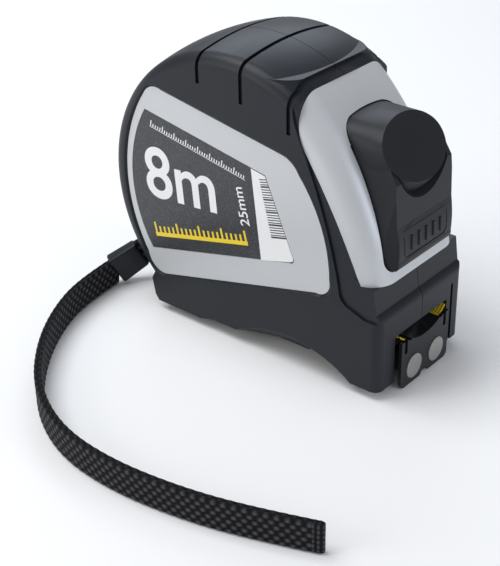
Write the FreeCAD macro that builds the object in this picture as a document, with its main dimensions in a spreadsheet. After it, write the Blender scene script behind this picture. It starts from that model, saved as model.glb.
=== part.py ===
"""Retractable tape measure: rubber-clad case, silver bezel, thumb lock, magnetic hook, wrist strap.

Millimetres. +X points out of the blade mouth, +Y to the right-hand side of the case, +Z up.
The origin is midway along the case on its mid-plane, level with the lowest edge of the end hook.
"""
import FreeCAD, Part
import math
import os
import Sketcher
from FreeCAD import Placement, Rotation, Vector

os.makedirs("parts", exist_ok=True)
doc = FreeCAD.newDocument("TapeMeasure")

# ---------------------------------------------------------------- driving dimensions
SIZES = {
    "dome_radius": 52.3,        # round back and top of the case
    "dome_x": -4.0,             # centre of that round
    "dome_z": 47.2,
    "case_width": 46.0,         # over the rubber sides
    "crown_drop": 2.6,          # how far the top falls from mid-plane to shoulder
    "shoulder_radius": 4.5,     # rounding between top and side
    "nose_x": 54.2,             # front face of the nose
    "nose_round": 3.0,
    "base_z": 3.0,              # underside of the case, above the hook's lower edge
    "heel_length": 18.0,        # from the rearmost point of the case to the flat base
    "grip_rise": 3.6,           # finger arch under the base
    "grip_length": 54.0,
    "flare_radius": 42.0,       # finger scallop on each side of the base
    "flare_depth": 5.4,         # how far the scallop runs in from the side
    "cover_wall": 2.2,          # rubber
    "shell_wall": 2.0,          # hard case
    "seam_gap": 0.1,            # half of the parting gap
    "groove_width": 1.4,        # cross grooves over the crown
    "groove_depth": 0.9,
    "gutter_depth": 0.7,        # step in the rubber beside the bezel
    "window_inset": 0.6,        # window panel below the rubber side
    "lip_width": 0.7,           # chamfer round the window opening
    "label_depth": 0.3,         # recess for the label
    "label_thick": 0.2,
    "bezel_inset": 0.8,         # bezel side below the rubber side
    "bezel_wall": 2.2,
    "bezel_round": 8.5,
    "mouth_gap": 1.3,           # hook to the side of the mouth
    "mouth_height": 16.3,
    "mouth_depth": 5.0,
    "blade_gap": 1.1,           # blade edge to the side of its channel
    "button_width": 29.2,       # thumb face
    "button_height": 20.8,
    "button_gap": 0.4,
    "pin_radius": 1.2,
    "lever_width": 12.0,
    "running_gap": 0.05,
    "coil_radius": 27.0,        # outside of the wound blade
    "hub_radius": 17.0,
    "hub_wall": 1.8,
    "flange_reach": 1.6,        # flange beyond the coil
    "flange_thick": 1.2,
    "flange_gap": 0.2,          # coil to flange
    "post_radius": 4.5,
    "spring_width": 19.0,
    "blade_width": 25.0,
    "blade_thick": 0.3,
    "blade_low": 13.6,          # lowest line of the curved blade
    "blade_bow": 4.8,           # rise of its edges
    "hook_side": 0.5,           # hook beyond the blade edge
    "hook_thick": 1.1,
    "hook_gap": 0.7,            # nose to the back of the hook plate
    "hook_ear": 17.0,           # height of its ears
    "hook_float": 1.0,
    "tongue_thick": 0.8,
    "magnet_radius": 4.05,
    "magnet_spread": 6.1,
    "magnet_z": 5.9,
    "magnet_proud": 0.3,
    "rivet_radius": 1.4,
    "rivet_head": 0.8,          # head beyond the shank
    "bumper_width": 19.0,
    "bumper_height": 6.4,
    "screw_radius": 1.5,
    "screw_head": 1.3,          # head beyond the shank
    "head_thick": 1.8,
    "screw_reach": 13.5,        # tip of the screw beyond the mid-plane
    "boss_wall": 1.7,
    "bar_radius": 1.25,         # strap bar
    "bar_z": 15.0,
    "bar_gap": 4.8,             # bar behind the back of the case
    "lug_height": 18.0,
    "lug_width": 12.0,
    "lug_arm": 3.0,
    "strap_width": 10.0,
    "strap_thick": 2.4,
    "keeper_wall": 1.5,
}
sheet = doc.addObject("Spreadsheet::Sheet", "Sizes")
for row, (alias, number) in enumerate(SIZES.items(), 1):
    sheet.set(f"A{row}", alias)
    sheet.set(f"B{row}", str(number))
    sheet.setAlias(f"B{row}", alias)
doc.recompute()


def size(alias):
    """A driving dimension, read back from the sheet."""
    return float(sheet.get(alias))


# Outlines of the case are drawn from its four outer limits, so that they follow its size.
def back(distance):
    """X at a distance forward of the rearmost point."""
    return size("dome_x") - size("dome_radius") + distance


def front(distance):
    """X at a distance behind the nose."""
    return size("nose_x") - distance


def up(distance):
    """Z at a height above the base."""
    return size("base_z") + distance


def down(distance):
    """Z at a distance below the crown."""
    return size("dome_z") + size("dome_radius") - distance


# ---------------------------------------------------------------- shape helpers
BIG = 200.0
Y_AXIS = Vector(0, 1, 0)
Z_AXIS = Vector(0, 0, 1)


def outline(start, *steps):
    """Closed face in the XZ plane: a step is a point, or a pair (point on the arc, end point)."""
    edges = []
    here = Vector(start[0], 0, start[1])
    for step in steps + (start,):
        if isinstance(step[0], tuple):
            middle, end = (Vector(p[0], 0, p[1]) for p in step)
            edges.append(Part.Arc(here, middle, end).toShape())
        else:
            end = Vector(step[0], 0, step[1])
            if end.distanceToPoint(here) > 1e-6:
                edges.append(Part.makeLine(here, end))
        here = end
    return Part.Face(Part.Wire(edges))


def prism(face, y_from, y_to):
    """The XZ face pushed along Y between two places."""
    return face.translated(Vector(0, y_from, 0)).extrude(Vector(0, y_to - y_from, 0))


def block(x_from, x_to, y_from, y_to, z_from, z_to):
    """Box between two corners."""
    return Part.makeBox(x_to - x_from, y_to - y_from, z_to - z_from, Vector(x_from, y_from, z_from))


def rod_y(radius, x, z, y_from, y_to):
    """Cylinder along Y."""
    return Part.makeCylinder(radius, y_to - y_from, Vector(x, y_from, z), Y_AXIS)


def rod_z(radius, x, y, z_from, z_to):
    """Cylinder along Z."""
    return Part.makeCylinder(radius, z_to - z_from, Vector(x, y, z_from), Z_AXIS)


def rod_x(radius, y, z, x_from, x_to):
    """Cylinder along X."""
    return Part.makeCylinder(radius, x_to - x_from, Vector(x_from, y, z), Vector(1, 0, 0))


def fuse(shapes):
    """Union of a list of solids."""
    return shapes[0].multiFuse(list(shapes[1:]))


def cut(shape, tools):
    """The solid less each tool in turn."""
    for tool in tools:
        shape = shape.cut(tool)
    return shape


def largest(shape):
    """The main solid of a boolean's result, without crumbs."""
    return max(shape.Solids, key=lambda solid: solid.Volume)


def mirrored(shape):
    """The same piece on the other side of the mid-plane."""
    return shape.mirror(Vector(0, 0, 0), Y_AXIS)


# ---------------------------------------------------------------- document helpers
PIECES = []


def formed(label, shape):
    """A sub-part with moulded or bent surfaces that no feature describes."""
    feature = doc.addObject("Part::Feature", label)
    feature.Shape = shape
    feature.Label = label
    feature.Placement = Placement()
    PIECES.append(feature)
    return feature


def finished(feature, label):
    """Marks a document object as a sub-part of its own."""
    feature.Label = label
    PIECES.append(feature)
    return feature


def bind(feature, **expressions):
    """Ties properties to expressions on the sheet; an underscore pair stands for a dot."""
    for name, expression in expressions.items():
        feature.setExpression(name.replace("__", "."), expression)
    return feature


AXIS_TURN = {
    "x": Rotation(Y_AXIS, 90),
    "y": Rotation(Vector(1, 0, 0), -90),
    "z": Rotation(),
}


def rod(name, along, radius, length, x, y, z):
    """Cylinder primitive bound to the sheet, running from its start along one axis."""
    feature = doc.addObject("Part::Cylinder", name)
    feature.Placement = Placement(Vector(), AXIS_TURN[along])
    return bind(feature, Radius=radius, Height=length, Placement__Base__x=x, Placement__Base__y=y,
                Placement__Base__z=z)


def slab(name, length, width, height, x, y, z):
    """Box primitive bound to the sheet, from its lowest corner."""
    feature = doc.addObject("Part::Box", name)
    return bind(feature, Length=length, Width=width, Height=height, Placement__Base__x=x,
                Placement__Base__y=y, Placement__Base__z=z)


def combined(kind, name, *features):
    """Boolean of document objects: Cut takes a base and a tool, the others any number."""
    feature = doc.addObject(f"Part::{kind}", name)
    if kind == "Cut":
        feature.Base, feature.Tool = features
    elif kind == "Compound":
        feature.Links = list(features)
    else:
        feature.Shapes = list(features)
    return feature


def solid_body(name):
    """PartDesign body, which takes sketches and pads."""
    return doc.addObject("PartDesign::Body", name)


def sketch_on(body, name, role):
    """Sketch on one of the body's own origin planes."""
    sketch = body.newObject("Sketcher::SketchObject", name)
    plane = [item for item in body.Origin.OriginFeatures if item.Role == role][0]
    sketch.AttachmentSupport = [(plane, "")]
    sketch.MapMode = "FlatFace"
    return sketch


def circle_on(sketch, radius, x, y):
    """Circle whose radius and centre are bound to the sheet."""
    number = sketch.addGeometry(Part.Circle(Vector(), Z_AXIS, 5.0), False)
    for word, ends, expression in (("Radius", (), radius), ("DistanceX", (-1, 1), x), ("DistanceY", (-1, 1), y)):
        if ends:
            key = sketch.addConstraint(Sketcher.Constraint(word, *ends, number, 3, 5.0))
        else:
            key = sketch.addConstraint(Sketcher.Constraint(word, number, 5.0))
        sketch.setExpression(f"Constraints[{key}]", expression)


def polygon_on(sketch, points):
    """Closed outline; a coordinate is a number and the expression that it is bound to."""
    places = [Vector(x[0], y[0], 0) for x, y in points]
    lines = [Part.LineSegment(a, b) for a, b in zip(places, places[1:] + places[:1])]
    sketch.addGeometry(lines, False)
    for number in range(len(points)):
        sketch.addConstraint(Sketcher.Constraint("Coincident", number, 2, (number + 1) % len(points), 1))
    for number, point in enumerate(points):
        for word, (value, expression) in zip(("DistanceX", "DistanceY"), point):
            key = sketch.addConstraint(Sketcher.Constraint(word, -1, 1, number, 1, value))
            sketch.setExpression(f"Constraints[{key}]", expression)


def mid_pad(body, sketch, length):
    """Pad of equal depth on both sides of the sketch's plane."""
    pad = body.newObject("PartDesign::Pad", f"{body.Name}_pad")
    pad.Profile = sketch
    pad.Midplane = True
    bind(pad, Length=length)
    return pad


# ---------------------------------------------------------------- case volumes
def dome(inset):
    """Crowned round body turned about the case's cross axis, with rounded shoulders."""
    radius = size("dome_radius") - inset
    half = size("case_width") / 2 - inset
    rim = radius - size("crown_drop")
    middle = Vector(size("dome_x"), 0, size("dome_z"))
    profile = ((-half, 0), (-half, rim), (0, radius), (half, rim), (half, 0))
    corners = [middle + Vector(0, y, r) for y, r in profile]
    edges = [
        Part.makeLine(corners[0], corners[1]),
        Part.Arc(corners[1], corners[2], corners[3]).toShape(),
        Part.makeLine(corners[3], corners[4]),
        Part.makeLine(corners[4], corners[0]),
    ]
    solid = Part.Face(Part.Wire(edges)).revolve(middle, Y_AXIS, 360)
    rims = [e for e in solid.Edges if abs(abs(e.CenterOfMass.y) - half) < 0.01 and e.Length > radius]
    solid = solid.makeFillet(max(size("shoulder_radius") - inset, 0.8), rims)
    return solid.cut(block(-BIG, BIG, -BIG, BIG, -BIG, up(inset + 1.5)))


BEZEL_HALF = size("case_width") / 2 - size("bezel_inset")


def front_body(inset):
    """Volume behind the bezel: one sloping front curve, its two long edges well rounded."""
    rear = front(56.2)
    face = outline((front(0.2 + inset), up(24.0)),
                   ((front(12.0 + inset), down(31.9)), (front(34.7) - inset * 0.4, down(5.1 + inset))),
                   (rear, down(5.1 + inset)), (rear, up(24.0)))
    half = BEZEL_HALF - inset
    solid = prism(face, -half, half)
    long_edges = [e for e in solid.Edges if isinstance(e.Curve, Part.Circle)]
    solid = solid.makeFillet(max(size("bezel_round") - inset, 2.0), long_edges)
    return solid.common(block(rear, BIG, -BIG, BIG, up(34.8), BIG))


def nose_body(inset):
    """Base and nose of the case, with a finger arch along the underside."""
    low = up(inset)
    heel = back(size("heel_length")) + inset
    face = outline((front(inset), low), (front(inset), up(23.6)),
                   ((front(inset + 0.5), up(25.6)), (front(inset + 1.8), up(27.0))),
                   (front(inset + 2.9), up(35.2)), (front(34.2), up(43.0)), (back(36.3), up(43.0)),
                   (heel - 1.2, up(8.0)), (heel, up(2.0)), (heel + 1.4, low))
    half = size("case_width") / 2 - inset
    plan = block(back(-BIG), front(inset), -half, half, low - 1.0, down(0.0))
    corners = [e for e in plan.Edges
               if e.CenterOfMass.x > front(inset + 0.01) and abs(abs(e.CenterOfMass.y) - half) < 0.01]
    plan = plan.makeFillet(max(size("nose_round") - inset, 0.6), corners)
    solid = prism(face, -half, half).common(plan)
    rise = size("grip_rise")
    radius = ((size("grip_length") / 2) ** 2 + rise ** 2) / (2 * rise)
    arch = rod_y(radius + inset, front(45.2), up(rise - radius), -BIG, BIG)
    return solid.cut(arch)


def flare(inset, side):
    """Finger scallop of one side of the base: a cone that opens outwards at 45 degrees."""
    outside = 4.0
    deep = size("flare_depth") + inset
    slope_shift = inset * math.sqrt(2)
    face_y = side * (size("case_width") / 2 - deep)
    narrow = size("flare_radius") - deep + slope_shift
    centre = Vector(front(34.6), face_y, up(7.7) - size("flare_radius"))
    return Part.makeCone(narrow, narrow + deep + outside, deep + outside, centre, Y_AXIS * side)


def case_volume(inset):
    """Whole closed case, offset inwards by the inset."""
    whole = fuse([dome(inset), nose_body(inset), front_body(inset)])
    return cut(whole, [flare(inset, -1), flare(inset, 1)])


def bezel_region():
    """Prism that the silver bezel fills, in front of the rubber spine."""
    face = outline((BIG, up(35.0)), (front(8.0), up(35.0)),
                   ((front(16.8), down(43.5)), (front(28.6), down(24.3))),
                   ((front(30.8), down(18.9)), (front(31.4), down(13.5))),
                   (front(32.4), BIG), (BIG, BIG))
    return prism(face, -BIG, BIG)


def gutter_region():
    """Prism of the step in the rubber between the window and the bezel."""
    face = outline((BIG, up(24.0)), (front(5.7), up(24.3)), (front(10.9), up(26.2)),
                   ((front(14.0), up(28.0)), (front(15.4), up(32.0))),
                   ((front(20.4), down(45.2)), (front(29.2), down(22.8))),
                   ((front(32.2), down(15.4)), (front(33.2), down(8.0))), (front(33.2), BIG), (BIG, BIG))
    return prism(face, -BIG, -(size("case_width") / 2 - size("gutter_depth")))


def window_face(inset):
    """Side window outline: flat slanting top and bottom edges between round ends."""
    d = inset
    return outline((back(22.8), up(11.2) + d), (front(24.2) - d * 0.3, up(27.0) + d),
                   ((front(20.0) - d * 0.7, up(28.6) + d * 0.7), (front(19.1) - d, up(33.0))),
                   ((front(21.9) - d, down(47.5)), (front(30.7) - d, down(31.9) - d * 0.4)),
                   ((front(33.6) - d * 0.7, down(28.5) - d * 0.7), (front(37.7), down(26.9) - d)),
                   (back(25.3), down(18.7) - d),
                   ((back(21.1) + d * 0.6, down(18.5) - d), (back(17.5) + d * 0.8, down(21.5) - d * 0.6)),
                   ((back(7.9) + d, down(49.5)), (back(15.3) + d, up(17.5) + d * 0.4)),
                   ((back(18.0) + d * 0.8, up(12.6) + d * 0.8), (back(22.8), up(11.2) + d)))


def label_face(inset):
    """Label outline inside the window."""
    d = inset
    rear = back(17.7) + d * 0.4
    return outline((rear, up(19.8) + d), (front(34.4) - d * 0.5, up(34.0) + d),
                   ((front(32.9) - d, up(34.9) + d * 0.3), (front(33.2) - d, up(36.2))),
                   (front(43.8) - d, down(35.9) - d), (rear, down(27.1) - d),
                   ((back(10.5) + d, down(48.5)), (rear, up(19.8) + d)))


HALF = size("case_width") / 2
COVER = size("cover_wall")
SHELL = COVER + size("shell_wall")
SIDE_INSIDE = HALF - SHELL
BLADE_HALF = size("blade_width") / 2
HOOK_HALF = BLADE_HALF + size("hook_side")
MOUTH_HALF = HOOK_HALF + size("mouth_gap")
HOOK_X = front(-size("hook_gap"))
PIN = size("pin_radius")
POST = size("post_radius")
RIVET = size("rivet_radius")
REEL = (size("dome_x") - 2.0, size("dome_z") - 2.2)
PIVOT = (front(10.2), up(40.5))
LEVER = (front(21.2), up(28.0))
BAR_DROP = size("dome_z") - size("bar_z")
BAR_X = size("dome_x") - math.sqrt(size("dome_radius") ** 2 - BAR_DROP ** 2) - size("bar_gap")
BAR_Z = size("bar_z")
LUG_LOW = BAR_Z - size("lug_height") / 2
LUG_TOP = BAR_Z + size("lug_height") / 2
LUG_FRONT = BAR_X + 9.8
FLANGE_Y = BLADE_HALF + size("flange_gap")
FLANGE_OUT = FLANGE_Y + size("flange_thick")

outer = case_volume(0.0)
shell_outside = case_volume(COVER)
left_side = block(-BIG, BIG, -BIG, -size("seam_gap"), -BIG, BIG)
mouth = block(front(size("mouth_depth")), BIG, -MOUTH_HALF, MOUTH_HALF, -BIG, up(size("mouth_height")))
channel_half = BLADE_HALF + size("blade_gap")
channel = block(front(16.2), BIG, -channel_half, channel_half, size("blade_low") - 4.0,
                up(size("mouth_height")) + 0.3)
lug_half = size("lug_width") / 2 + 0.2
lug_room = block(BAR_X - 10.0, LUG_FRONT + 0.2, -lug_half, lug_half, LUG_LOW - 0.2, LUG_TOP + 0.2)

# ---------------------------------------------------------------- rubber covers
# Rubber halves over the hard case, parted on the mid-plane. Three cross grooves run over the
# crown, each side is open around the window panel, and the base has a finger scallop.
GROOVES = ((front(69.2), down(12.5)), (front(52.2), down(14.9)), (front(34.2), down(19.9)))
window_hole = prism(window_face(0.0), -BIG, 0)
lip = size("lip_width")
lip_low = window_face(0.0).translated(Vector(0, -HALF + lip, 0))
lip_high = window_face(-2 * lip).translated(Vector(0, -HALF - lip, 0))
window_lip = Part.makeLoft([lip_low.OuterWire, lip_high.OuterWire], True, True)
cover = cut(outer.common(left_side), [bezel_region(), mouth, channel, lug_room, gutter_region(), window_hole,
                                      window_lip, shell_outside])
groove_floor = case_volume(size("groove_depth"))
for groove_x, groove_low in GROOVES:
    reach = size("groove_width") / 2
    slot = block(groove_x - reach, groove_x + reach, -BIG, 0, groove_low, BIG)
    cover = cover.cut(slot.cut(groove_floor))
cover = largest(cover)
SCREWS = ((back(23.8), up(6.4)), (front(13.2), up(6.0)), (front(42.2), down(15.5)), (back(19.3), down(27.0)))
SCREW = size("screw_radius")
HEAD = SCREW + size("screw_head")
SINK_Y = SIDE_INSIDE - 0.4
sinks = [rod_y(HEAD + 0.2, x, z, SINK_Y, BIG) for x, z in SCREWS]
formed("rubber_cover_left", cover)
# A narrow slot stands beside the hook, on the right only.
nose_slot = block(front(1.6), BIG, HOOK_HALF + 3.4, HOOK_HALF + 4.6, -BIG, up(21.0))
formed("rubber_cover_right", largest(cut(mirrored(cover), sinks + [nose_slot])))

# ---------------------------------------------------------------- hard case halves
# The window panel of each half stands out through the rubber and carries the label recess.
# Bosses inside take the screws, the reel post and the lever pin.
FLOOR_Z = up(size("grip_rise") + SHELL)
cavity_face = outline((back(25.3), FLOOR_Z), (front(11.2), FLOOR_Z), (front(11.2), up(33.0)),
                      ((front(16.2), down(43.5)), (front(24.6), down(25.5))),
                      (front(32.2), down(13.5)), (front(56.2), down(10.5)), (back(25.3), down(39.5)))
bezel_inside = front_body(size("bezel_wall") + 0.2).common(block(front(34.2), BIG, -BIG, BIG, up(35.2), BIG))
cavity = [dome(SHELL), prism(cavity_face, -SIDE_INSIDE, SIDE_INSIDE), bezel_inside]
PANEL_Y = -(HALF - size("window_inset"))
LABEL_Y = PANEL_Y + size("label_depth")
panel = prism(window_face(3 * size("running_gap")), PANEL_Y, -(HALF - COVER - 0.4))
label_recess = prism(label_face(-0.15), PANEL_Y - 1.0, LABEL_Y)
inner_y = -SIDE_INSIDE - 1.0
bosses = [rod_y(SCREW + size("boss_wall"), x, z, inner_y, -size("seam_gap")) for x, z in SCREWS]
bosses.append(rod_y(POST + 2.6, *REEL, inner_y, -FLANGE_OUT - 1.5))
bosses.append(rod_y(PIN + 1.8, *LEVER, inner_y, -size("lever_width") / 2 - 2.6))
shell = shell_outside.common(left_side).fuse(panel)
shell = largest(cut(shell, cavity + [bezel_region(), mouth]))
for boss in bosses:
    shell = shell.fuse(boss)
blind = -SIDE_INSIDE + 0.2
shell = largest(cut(shell, [bezel_region(), channel, label_recess, lug_room, rod_y(POST, *REEL, blind, 0),
                            rod_y(PIN, *LEVER, blind, 0)]))
pilots = [rod_y(SCREW, x, z, -size("screw_reach") - 0.5, 0) for x, z in SCREWS]
clearances = [rod_y(SCREW + 0.15, x, z, -1.0, BIG) for x, z in SCREWS]
formed("case_shell_left", largest(cut(shell, pilots)))
formed("case_shell_right", largest(cut(mirrored(shell), clearances + sinks)))

# ---------------------------------------------------------------- case screws
# Four cross-head screws, entered from the right and driven into the left half.
HEAD_OUT = "(Sizes.case_width / 2 - Sizes.cover_wall - Sizes.shell_wall - 0.4)"
ARM = {"long": "2.8", "short": "0.6"}
screws = []
for number, (x, z) in enumerate(SCREWS):
    place = (str(x), str(z))
    head = rod(f"screw_head_{number}", "y", "Sizes.screw_radius + Sizes.screw_head", "Sizes.head_thick",
               place[0], HEAD_OUT, place[1])
    shank = rod(f"screw_shank_{number}", "y", "Sizes.screw_radius", f"Sizes.screw_reach + {HEAD_OUT}",
                place[0], "-Sizes.screw_reach", place[1])
    arms = []
    for a, b in (("long", "short"), ("short", "long")):
        arms.append(slab(f"screw_cross_{number}_{a}", ARM[a], "5", ARM[b], f"{place[0]} - {ARM[a]} / 2",
                         f"{HEAD_OUT} + 0.8", f"{place[1]} - {ARM[b]} / 2"))
    blank = combined("MultiFuse", f"screw_blank_{number}", head, shank)
    cross = combined("MultiFuse", f"screw_cross_{number}", *arms)
    screws.append(combined("Cut", f"screw_{number}", blank, cross))
finished(combined("Compound", "case_screws", *screws), "case_screws")

# ---------------------------------------------------------------- silver front bezel
# A one-piece frame that closes the sloping front, with a tall opening for the thumb lock and two
# ears inside that hold its cross pin.
LOCK_TILT = math.radians(34.0)
LOCK_OUT = Vector(math.cos(LOCK_TILT), 0, math.sin(LOCK_TILT))
LOCK_UP = Vector(-math.sin(LOCK_TILT), 0, math.cos(LOCK_TILT))
FACE_CENTRE = Vector(front(5.5), 0, down(23.2))
FACE_HALF = size("button_width") / 2
FACE_TALL = size("button_height") / 2
ROOT_CENTRE = FACE_CENTRE - LOCK_OUT * 16.0 + LOCK_UP * 1.8
ROOT_HALF = FACE_HALF - 0.9
ROOT_TALL = FACE_TALL + 6.8
ROOT_CORNER = 7.0


def on_lock(centre, y, rise):
    """Point across the thumb lock, in a plane square to its outward direction."""
    return centre + Y_AXIS * y + LOCK_UP * rise


def face_wire(gap):
    """Oval thumb face, in eight arcs."""
    half_y, half_up = FACE_HALF + gap, FACE_TALL + gap
    turns = [math.radians(a) for a in (-62, -32, 32, 62, 118, 148, 212, 242, 298)]

    def mark(turn):
        return on_lock(FACE_CENTRE, half_y * math.cos(turn), half_up * math.sin(turn))

    return Part.Wire([Part.Arc(mark(a), mark((a + b) / 2), mark(b)).toShape() for a, b in zip(turns, turns[1:])])


def root_wire(gap):
    """Rounded rectangle inside the case that the thumb face widens back to."""
    half_y, half_up, corner = ROOT_HALF + gap, ROOT_TALL + gap, ROOT_CORNER + gap
    tuck = corner * (1 - math.sqrt(0.5))
    edges = []
    for side_y, side_up in ((1, -1), (1, 1), (-1, 1), (-1, -1)):
        beside = on_lock(ROOT_CENTRE, side_y * half_y, side_up * (half_up - corner))
        above = on_lock(ROOT_CENTRE, side_y * (half_y - corner), side_up * half_up)
        bend = on_lock(ROOT_CENTRE, side_y * (half_y - tuck), side_up * (half_up - tuck))
        edges.append((beside, bend, above) if side_y * side_up > 0 else (above, bend, beside))
    rounds = [Part.Arc(*marks).toShape() for marks in edges]
    lines = [Part.makeLine(edges[n][2], edges[(n + 1) % 4][0]) for n in range(4)]
    return Part.Wire([edge for pair in zip(rounds, lines) for edge in pair])


def thumb_dome(gap):
    """Boss between the oval face and its squarer root."""
    return Part.makeLoft([root_wire(gap), face_wire(gap)], True, True)


def lock_front(gap):
    """Front view of the lock as a prism along X: wider at its foot, with rounded corners."""
    low = up(38.6) - gap
    foot = FACE_HALF + 1.8 + gap
    head = FACE_HALF - 0.8 + gap
    corner = 4.0
    tuck = corner * (1 - math.sqrt(0.5))
    marks = [Vector(0, y, z) for y, z in (
        (-foot, low + corner), (-head, down(22.0)), (head, down(22.0)), (foot, low + corner),
        (foot - tuck, low + tuck), (foot - corner, low), (-foot + corner, low), (-foot + tuck, low + tuck))]
    edges = [
        Part.makeLine(marks[0], marks[1]),
        Part.makeLine(marks[1], marks[2]),
        Part.makeLine(marks[2], marks[3]),
        Part.Arc(marks[3], marks[4], marks[5]).toShape(),
        Part.makeLine(marks[5], marks[6]),
        Part.Arc(marks[6], marks[7], marks[0]).toShape(),
    ]
    return Part.Face(Part.Wire(edges)).extrude(Vector(BIG, 0, 0))


bezel = front_body(0.0).common(bezel_region())
bezel = bezel.cut(front_body(size("bezel_wall")).common(block(-BIG, BIG, -BIG, BIG, up(37.2), BIG)))
bezel = bezel.cut(dome(0.0).common(block(-BIG, front(32.4), -BIG, BIG, -BIG, BIG)))
bezel = largest(cut(bezel, [lock_front(size("button_gap")), thumb_dome(size("button_gap"))]))
ears = []
for side in (-1, 1):
    y_from, y_to = sorted((side * (BEZEL_HALF - 5.2), side * (BEZEL_HALF - 2.6)))
    arm = block(PIVOT[0] - 2.6, PIVOT[0] + 4.2, y_from, y_to, PIVOT[1] - 5.2, PIVOT[1] + 2.6)
    ears.append(arm.common(front_body(0.6)))
pin_half = BEZEL_HALF - 3.6
formed("front_bezel", largest(fuse([bezel] + ears).cut(rod_y(PIN, *PIVOT, -pin_half, pin_half))))

# ---------------------------------------------------------------- thumb lock
# One moulding: an oval thumb face above, a trough scooped out under it, and a skirt below, with
# one sloping flank down each side. It rocks on a cross pin at its foot.
side_view = outline((front(3.6), up(38.6)), (front(1.4), up(38.6)),
                    ((front(0.3), up(39.8)), (front(0.1), up(41.8))),
                    ((front(0.0), up(47.0)), (front(0.9), down(43.5))),
                    (front(1.7), down(30.0)), (front(4.6), down(25.0)), (front(12.0), down(23.0)),
                    (front(22.0), down(23.0)),
                    ((front(16.4), down(36.0)), (front(13.2), down(48.0))),
                    (front(13.2), up(41.0)), (front(13.2), up(38.4)))
skirt = prism(side_view, -BIG, BIG).common(lock_front(0.0))
flanks = []
for side in (-1, 1):
    corner = [Vector(x, side * y, 0) for x, y in (
        (front(-5.8), FACE_HALF - 3.0), (front(-5.8), BIG), (front(8.2), BIG), (front(8.2), FACE_HALF + 3.1))]
    flanks.append(Part.Face(Part.makePolygon(corner + corner[:1])).extrude(Vector(0, 0, BIG)))
TROUGH_RADIUS = 14.5
TROUGH_ALONG = Vector(0.86, 0, -0.51)
TROUGH_FLOOR = Vector(front(3.9), 0, down(36.2))
trough_start = TROUGH_FLOOR + Vector(0.51, 0, 0.86) * TROUGH_RADIUS - TROUGH_ALONG * 20.0
trough = Part.makeCylinder(TROUGH_RADIUS, 40.0, trough_start, TROUGH_ALONG)
dome_part = thumb_dome(0.0).cut(block(-BIG, BIG, -BIG, BIG, -BIG, down(42.5)))
lock = cut(skirt, flanks + [trough.cut(thumb_dome(0.0))]).fuse(dome_part)
formed("thumb_lock", largest(lock.cut(rod_y(PIN + size("running_gap"), *PIVOT, -BIG, BIG))))
PIN_LENGTH = "Sizes.case_width - 2 * Sizes.bezel_inset - 7.2"
finished(rod("thumb_lock_pin", "y", "Sizes.pin_radius", PIN_LENGTH, "Sizes.nose_x - 10.2", f"-({PIN_LENGTH}) / 2",
             "Sizes.base_z + 40.5"), "thumb_lock_pin")

# ---------------------------------------------------------------- lock lever and spring
# The lever turns on its own pin behind the thumb lock; its toe bears down towards the blade.
# A leaf spring above it presses the lock back out.
LEVER_X, LEVER_Z = "Sizes.nose_x - 21.2", "Sizes.base_z + 28.0"


def lever_point(along, rise):
    """Point of the lever's outline, from its pin."""
    return (LEVER[0] + along, f"{LEVER_X} + {along}"), (LEVER[1] + rise, f"{LEVER_Z} + {rise}")


lever_body = solid_body("lock_lever")
lever_sketch = sketch_on(lever_body, "lever_outline", "XZ_Plane")
polygon_on(lever_sketch, [lever_point(*p) for p in (
    (-3.0, 2.0), (-3.4, -1.2), (-1.0, -3.2), (3.0, -10.4), (3.6, -11.8), (7.4, -11.8), (7.6, -10.0),
    (3.4, -1.0), (6.6, 9.0), (5.4, 15.4), (3.6, 15.4), (2.6, 9.6))])
mid_pad(lever_body, lever_sketch, "Sizes.lever_width")
doc.recompute()
bore_sketch = sketch_on(lever_body, "lever_bore", "XZ_Plane")
circle_on(bore_sketch, "Sizes.pin_radius + Sizes.running_gap", LEVER_X, LEVER_Z)
lever_bore = lever_body.newObject("PartDesign::Pocket", "lever_bore_cut")
lever_bore.Profile = bore_sketch
lever_bore.Midplane = True
bind(lever_bore, Length="2 * Sizes.lever_width")
finished(lever_body, "lock_lever")
INSIDE_LENGTH = "Sizes.case_width - 2 * Sizes.cover_wall - 2 * Sizes.shell_wall - 0.8"
finished(rod("lock_lever_pin", "y", "Sizes.pin_radius", INSIDE_LENGTH, LEVER_X, f"-({INSIDE_LENGTH}) / 2",
             LEVER_Z), "lock_lever_pin")
leaf = outline((front(24.2), down(39.5)), ((front(25.0), down(32.5)), (front(27.8), down(26.1))),
               (front(27.2), down(25.8)), ((front(24.3), down(32.5)), (front(23.5), down(39.5))))
formed("lock_spring", prism(leaf, -4.0, 4.0))

# ---------------------------------------------------------------- reel
# The wound blade sits on a flanged plastic drum that turns on a fixed post. The power spring
# is coiled inside the hub.
REEL_X, REEL_Z = "Sizes.dome_x - 2.0", "Sizes.dome_z - 2.2"
FLANGE_IN = "(Sizes.blade_width / 2 + Sizes.flange_gap)"


def ring_body(name, outside, inside, length):
    """PartDesign ring about the reel axis, centred on the mid-plane."""
    body = solid_body(name)
    sketch = sketch_on(body, f"{name}_outline", "XZ_Plane")
    circle_on(sketch, outside, REEL_X, REEL_Z)
    circle_on(sketch, inside, REEL_X, REEL_Z)
    mid_pad(body, sketch, length)
    return body


def flange(name, start):
    """Ring primitive on the post, from its start along Y."""
    disc = rod(f"{name}_disc", "y", "Sizes.coil_radius + Sizes.flange_reach", "Sizes.flange_thick",
               REEL_X, start, REEL_Z)
    bore = rod(f"{name}_bore", "y", "Sizes.post_radius + Sizes.running_gap", "4 * Sizes.flange_thick",
               REEL_X, f"{start} - Sizes.flange_thick", REEL_Z)
    return combined("Cut", name, disc, bore)


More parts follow.
